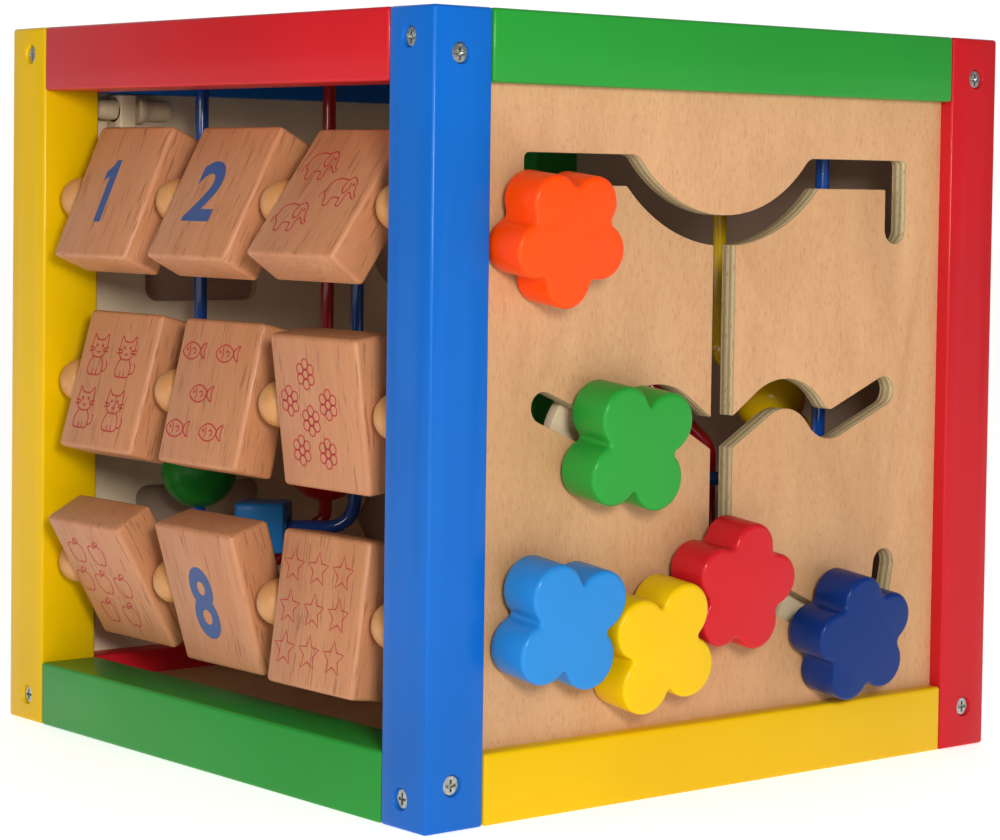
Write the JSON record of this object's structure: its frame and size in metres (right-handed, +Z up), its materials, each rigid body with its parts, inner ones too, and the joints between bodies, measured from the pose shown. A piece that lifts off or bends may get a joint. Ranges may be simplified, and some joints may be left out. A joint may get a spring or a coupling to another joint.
{
  "type": "shape sorter activity cube",
  "caption": "Wooden activity cube with a shape sorting wall, sliding flower knobs in slots, turning tiles and a bead maze inside.",
  "frame": {"origin": "middle of the footprint of the whole object, knobs and tiles included, on the surface it stands on", "axes": "+Z up, -Y out of the face with the sliding flower knobs, -X out of the face with the turning tiles"},
  "size_m": [0.3108, 0.3183, 0.3],
  "materials": {
    "yellow": "gloss paint on wood",
    "blue": "gloss paint on wood",
    "red": "gloss paint on wood",
    "green": "gloss paint on wood",
    "orange": "gloss paint on wood",
    "sky": "gloss paint on wood",
    "navy": "gloss paint on wood",
    "plywood": "satin clear varnish on maple-faced plywood",
    "beech": "satin clear varnish on steamed beech",
    "birch": "smooth unpainted turned wood",
    "wire_blue": "gloss coating on steel wire",
    "wire_red": "gloss coating on steel wire",
    "wire_yellow": "gloss coating on steel wire"
  },
  "bodies": {
    "frame": {"post_blue": "blue", "post_red": "red", "post_yellow": "yellow", "post_green": "green", "rail_tiles_top": "red", "rail_tiles_bottom": "green", "rail_slots_top": "green", "rail_slots_bottom": "yellow", "rail_sorter_top": "blue", "rail_sorter_bottom": "red", "rail_open_top": "yellow", "rail_open_bottom": "blue", "slot_panel": "plywood", "sorter_panel": "plywood", "top_panel": "plywood", "floor_panel": "plywood", "blue_wire": "wire_blue", "red_wire": "wire_red", "yellow_wire": "wire_yellow", "tile_dowel_1": "birch", "tile_dowel_2": "birch", "tile_dowel_3": "birch"},
    "slider_orange": {"peg_orange": "birch"},
    "slider_green": {"peg_green": "birch"},
    "slider_navy": {"peg_navy": "birch"},
    "slider_red": {"peg_red": "birch", "knob_red": "red"},
    "slider_sky": {"peg_sky": "birch", "knob_sky": "sky"},
    "slider_yellow": {"peg_yellow": "birch", "knob_yellow": "yellow"},
    "flower_orange": {"knob_orange": "orange"},
    "flower_green": {"knob_green": "green"},
    "flower_navy": {"knob_navy": "navy"},
    "green_bead_body": {"green_bead": "green"},
    "red_bead_body": {"red_bead": "red"},
    "yellow_bead_body": {"yellow_bead": "yellow"},
    "cube_bead_body": {"cube_bead": "sky"},
    "latch_bolt_body": {"latch_bolt": "birch"},
    "turning_tile_1": {"tile_1": "beech"},
    "turning_tile_2": {"tile_2": "beech"},
    "turning_tile_3": {"tile_3": "beech"},
    "turning_tile_4": {"tile_4": "beech"},
    "turning_tile_5": {"tile_5": "beech"},
    "turning_tile_6": {"tile_6": "beech"},
    "turning_tile_7": {"tile_7": "beech"},
    "turning_tile_8": {"tile_8": "beech"},
    "turning_tile_9": {"tile_9": "beech"},
    "loose_spacer_1": {"spacer_1": "birch"},
    "loose_spacer_2": {"spacer_2": "birch"},
    "loose_spacer_3": {"spacer_3": "birch"},
    "loose_spacer_4": {"spacer_4": "birch"},
    "loose_spacer_5": {"spacer_5": "birch"},
    "loose_spacer_6": {"spacer_6": "birch"},
    "loose_spacer_7": {"spacer_7": "birch"},
    "loose_spacer_8": {"spacer_8": "birch"},
    "loose_spacer_9": {"spacer_9": "birch"},
    "loose_spacer_10": {"spacer_10": "birch"},
    "loose_spacer_11": {"spacer_11": "birch"},
    "loose_spacer_12": {"spacer_12": "birch"}
  },
  "joints": [
    {"name": "orange_slide", "type": "slide", "parent": "frame", "child": "slider_orange", "axis": [0, 0, 1], "range_m": [0, 0.022]},
    {"name": "green_slide", "type": "slide", "parent": "frame", "child": "slider_green", "axis": [-0.9203, 0, 0.3912], "range_m": [0, 0.026]},
    {"name": "navy_slide", "type": "slide", "parent": "frame", "child": "slider_navy", "axis": [-0.904, 0, 0.4275], "range_m": [0, 0.013]},
    {"name": "red_slide", "type": "slide", "parent": "frame", "child": "slider_red", "axis": [0.99, 0, 0.1413], "range_m": [0, 0.0056]},
    {"name": "sky_slide", "type": "slide", "parent": "frame", "child": "slider_sky", "axis": [-0.1615, 0, 0.9869], "range_m": [0, 0.0055]},
    {"name": "yellow_slide", "type": "slide", "parent": "frame", "child": "slider_yellow", "axis": [0.904, 0, 0.4275], "range_m": [0, 0.0005]},
    {"name": "orange_turn", "type": "hinge", "parent": "slider_orange", "child": "flower_orange", "pos_m": [-0.0906, -0.1302, 0.2192], "axis": [0, -0.9945, -0.1045], "continuous": true},
    {"name": "green_turn", "type": "hinge", "parent": "slider_green", "child": "flower_green", "pos_m": [-0.0548, -0.1302, 0.14], "axis": [0, -0.9945, -0.1045], "continuous": true},
    {"name": "navy_turn", "type": "hinge", "parent": "slider_navy", "child": "flower_navy", "pos_m": [0.0672, -0.1302, 0.0574], "axis": [0, -0.9945, -0.1045], "continuous": true},
    {"name": "green_bead_slide", "type": "slide", "parent": "frame", "child": "green_bead_body", "axis": [0, 0, 1], "range_m": [0, 0.15]},
    {"name": "red_bead_slide", "type": "slide", "parent": "frame", "child": "red_bead_body", "axis": [0, 0, 1], "range_m": [0, 0.15]},
    {"name": "yellow_bead_slide", "type": "slide", "parent": "frame", "child": "yellow_bead_body", "axis": [0.826, -0.1205, -0.5507], "range_m": [-0.012, 0]},
    {"name": "cube_bead_slide", "type": "slide", "parent": "frame", "child": "cube_bead_body", "axis": [0.7071, -0.7071, 0], "range_m": [-0.005, 0.014]},
    {"name": "latch_bolt_slide", "type": "slide", "parent": "frame", "child": "latch_bolt_body", "axis": [1, 0, 0], "range_m": [0, 0.012]},
    {"name": "tile_1_turn", "type": "hinge", "parent": "frame", "child": "turning_tile_1", "pos_m": [-0.1307, 0.0848, 0.227], "axis": [0, 1, 0], "continuous": true},
    {"name": "tile_2_turn", "type": "hinge", "parent": "frame", "child": "turning_tile_2", "pos_m": [-0.1307, 0.0093, 0.227], "axis": [0, 1, 0], "continuous": true},
    {"name": "tile_3_turn", "type": "hinge", "parent": "frame", "child": "turning_tile_3", "pos_m": [-0.1307, -0.0662, 0.227], "axis": [0, 1, 0], "continuous": true},
    {"name": "tile_4_turn", "type": "hinge", "parent": "frame", "child": "turning_tile_4", "pos_m": [-0.1307, 0.0848, 0.149], "axis": [0, 1, 0], "continuous": true},
    {"name": "tile_5_turn", "type": "hinge", "parent": "frame", "child": "turning_tile_5", "pos_m": [-0.1307, 0.0093, 0.149], "axis": [0, 1, 0], "continuous": true},
    {"name": "tile_6_turn", "type": "hinge", "parent": "frame", "child": "turning_tile_6", "pos_m": [-0.1307, -0.0662, 0.149], "axis": [0, 1, 0], "continuous": true},
    {"name": "tile_7_turn", "type": "hinge", "parent": "frame", "child": "turning_tile_7", "pos_m": [-0.1307, 0.0848, 0.071], "axis": [0, 1, 0], "continuous": true},
    {"name": "tile_8_turn", "type": "hinge", "parent": "frame", "child": "turning_tile_8", "pos_m": [-0.1307, 0.0093, 0.071], "axis": [0, 1, 0], "continuous": true},
    {"name": "tile_9_turn", "type": "hinge", "parent": "frame", "child": "turning_tile_9", "pos_m": [-0.1307, -0.0662, 0.071], "axis": [0, 1, 0], "continuous": true},
    {"name": "spacer_1_turn", "type": "hinge", "parent": "frame", "child": "loose_spacer_1", "pos_m": [-0.1307, 0.12255, 0.227], "axis": [0, 1, 0], "continuous": true},
    {"name": "spacer_2_turn", "type": "hinge", "parent": "frame", "child": "loose_spacer_2", "pos_m": [-0.1307, 0.04705, 0.227], "axis": [0, 1, 0], "continuous": true},
    {"name": "spacer_3_turn", "type": "hinge", "parent": "frame", "child": "loose_spacer_3", "pos_m": [-0.1307, -0.02845, 0.227], "axis": [0, 1, 0], "continuous": true},
    {"name": "spacer_4_turn", "type": "hinge", "parent": "frame", "child": "loose_spacer_4", "pos_m": [-0.1307, -0.10395, 0.227], "axis": [0, 1, 0], "continuous": true},
    {"name": "spacer_5_turn", "type": "hinge", "parent": "frame", "child": "loose_spacer_5", "pos_m": [-0.1307, 0.12255, 0.149], "axis": [0, 1, 0], "continuous": true},
    {"name": "spacer_6_turn", "type": "hinge", "parent": "frame", "child": "loose_spacer_6", "pos_m": [-0.1307, 0.04705, 0.149], "axis": [0, 1, 0], "continuous": true},
    {"name": "spacer_7_turn", "type": "hinge", "parent": "frame", "child": "loose_spacer_7", "pos_m": [-0.1307, -0.02845, 0.149], "axis": [0, 1, 0], "continuous": true},
    {"name": "spacer_8_turn", "type": "hinge", "parent": "frame", "child": "loose_spacer_8", "pos_m": [-0.1307, -0.10395, 0.149], "axis": [0, 1, 0], "continuous": true},
    {"name": "spacer_9_turn", "type": "hinge", "parent": "frame", "child": "loose_spacer_9", "pos_m": [-0.1307, 0.12255, 0.071], "axis": [0, 1, 0], "continuous": true},
    {"name": "spacer_10_turn", "type": "hinge", "parent": "frame", "child": "loose_spacer_10", "pos_m": [-0.1307, 0.04705, 0.071], "axis": [0, 1, 0], "continuous": true},
    {"name": "spacer_11_turn", "type": "hinge", "parent": "frame", "child": "loose_spacer_11", "pos_m": [-0.1307, -0.02845, 0.071], "axis": [0, 1, 0], "continuous": true},
    {"name": "spacer_12_turn", "type": "hinge", "parent": "frame", "child": "loose_spacer_12", "pos_m": [-0.1307, -0.10395, 0.071], "axis": [0, 1, 0], "continuous": true}
  ]
}
